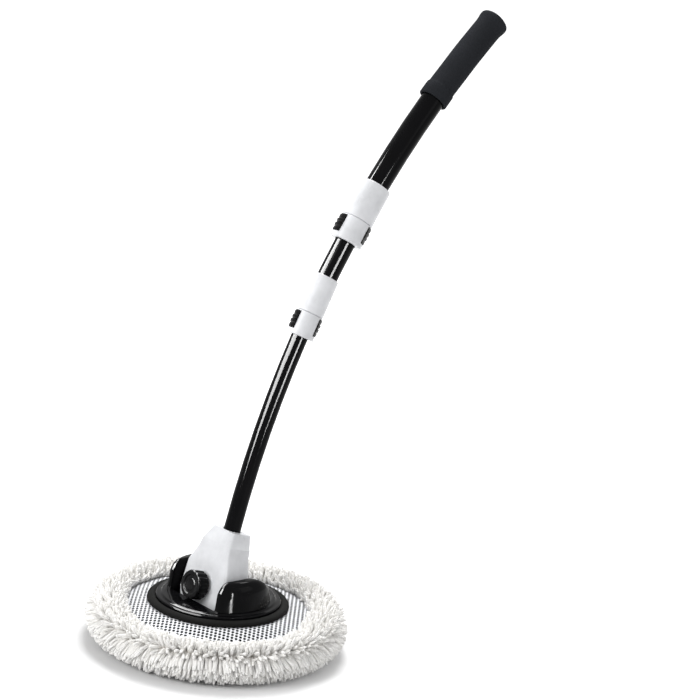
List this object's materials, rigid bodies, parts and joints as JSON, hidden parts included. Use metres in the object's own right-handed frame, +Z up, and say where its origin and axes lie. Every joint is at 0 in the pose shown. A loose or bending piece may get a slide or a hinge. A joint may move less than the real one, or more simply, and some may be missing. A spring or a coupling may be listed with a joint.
{
  "type": "car wash brush",
  "caption": "Long-handled car wash brush: round chenille pile head with an open net, tilting clamp neck and a curved telescopic pole with twist locks and a foam grip.",
  "frame": {"origin": "centre of the pile's underside, on the ground", "axes": "+Z up; the cross axle of the head runs along X; the clamp knob faces -Y and the pole leans and bends towards +Y"},
  "size_m": [0.2738, 0.4571, 0.6638],
  "materials": {
    "black_gloss": "moulded, high gloss",
    "black_tube": "black lacquer, high gloss",
    "black_satin": "satin",
    "black_foam": "matte closed-cell foam",
    "black_band": "matte elastic band",
    "white_gloss": "smooth moulding",
    "white_net": "open knitted net",
    "pile": "soft off-white pile",
    "core_foam": "dark open-cell foam",
    "steel": "plated",
    "nylon": "natural"
  },
  "bodies": {
    "head": {"pile_underside": "pile", "pile_rim_1": "pile", "pile_rim_2": "pile", "pile_rim_3": "pile", "pile_rim_4": "pile", "pile_rim_5": "pile", "pile_rim_6": "pile", "pile_rim_7": "pile", "pile_rim_8": "pile", "foam_core": "core_foam", "base_plate": "black_satin", "head_housing": "black_gloss", "plate_screw_1": "steel", "plate_screw_2": "steel", "plate_screw_3": "steel", "plate_screw_4": "steel", "cover_binding": "black_band", "cover_net": "white_net"},
    "pivot": {"pivot_block": "black_satin"},
    "neck": {"neck": "white_gloss", "pivot_bolt": "steel", "front_washer": "steel", "back_washer": "steel", "neck_screw": "steel", "lower_tube": "black_tube", "lower_tube_plug": "nylon"},
    "knob": {"clamp_knob": "black_satin"},
    "middle": {"middle_tube": "black_tube", "middle_tube_guide": "nylon", "lower_lock_collar": "white_gloss", "lower_lock_collet": "nylon"},
    "lower_ring": {"lower_lock_ring": "white_gloss", "lower_lock_pad_1": "black_satin", "lower_lock_pad_2": "black_satin", "lower_lock_pad_3": "black_satin"},
    "upper": {"upper_tube": "black_tube", "upper_tube_plug": "nylon", "grip": "black_foam", "upper_lock_collar": "white_gloss", "upper_lock_collet": "nylon"},
    "upper_ring": {"upper_lock_ring": "white_gloss", "upper_lock_pad_1": "black_satin", "upper_lock_pad_2": "black_satin", "upper_lock_pad_3": "black_satin"}
  },
  "joints": [
    {"name": "head_tilt", "type": "hinge", "parent": "head", "child": "pivot", "pos_m": [0, -0.0024, 0.06131], "axis": [-1, 0, 0], "range_deg": [0, 45]},
    {"name": "neck_sway", "type": "hinge", "parent": "pivot", "child": "neck", "pos_m": [0, -0.0024, 0.06131], "axis": [0, 0.9711, -0.2385], "range_deg": [-8, 8]},
    {"name": "knob_turn", "type": "hinge", "parent": "neck", "child": "knob", "pos_m": [0, -0.0024, 0.06131], "axis": [0, -0.9711, 0.2385], "range_deg": [0, 270]},
    {"name": "lower_slide", "type": "hinge", "parent": "neck", "child": "middle", "pos_m": [0, 1.03285, -0.10525], "axis": [-1, 0, 0], "range_deg": [-5.9, 5.5]},
    {"name": "lower_lock_twist", "type": "hinge", "parent": "middle", "child": "lower_ring", "pos_m": [0, 0.08315, 0.33693], "axis": [0, 0.4221, 0.9066], "range_deg": [0, 75]},
    {"name": "upper_slide", "type": "hinge", "parent": "middle", "child": "upper", "pos_m": [0, 1.03285, -0.10525], "axis": [-1, 0, 0], "range_deg": [-2.1, 6.1]},
    {"name": "upper_lock_twist", "type": "hinge", "parent": "upper", "child": "upper_ring", "pos_m": [0, 0.13447, 0.4336], "axis": [0, 0.5144, 0.8576], "range_deg": [0, 75]}
  ]
}
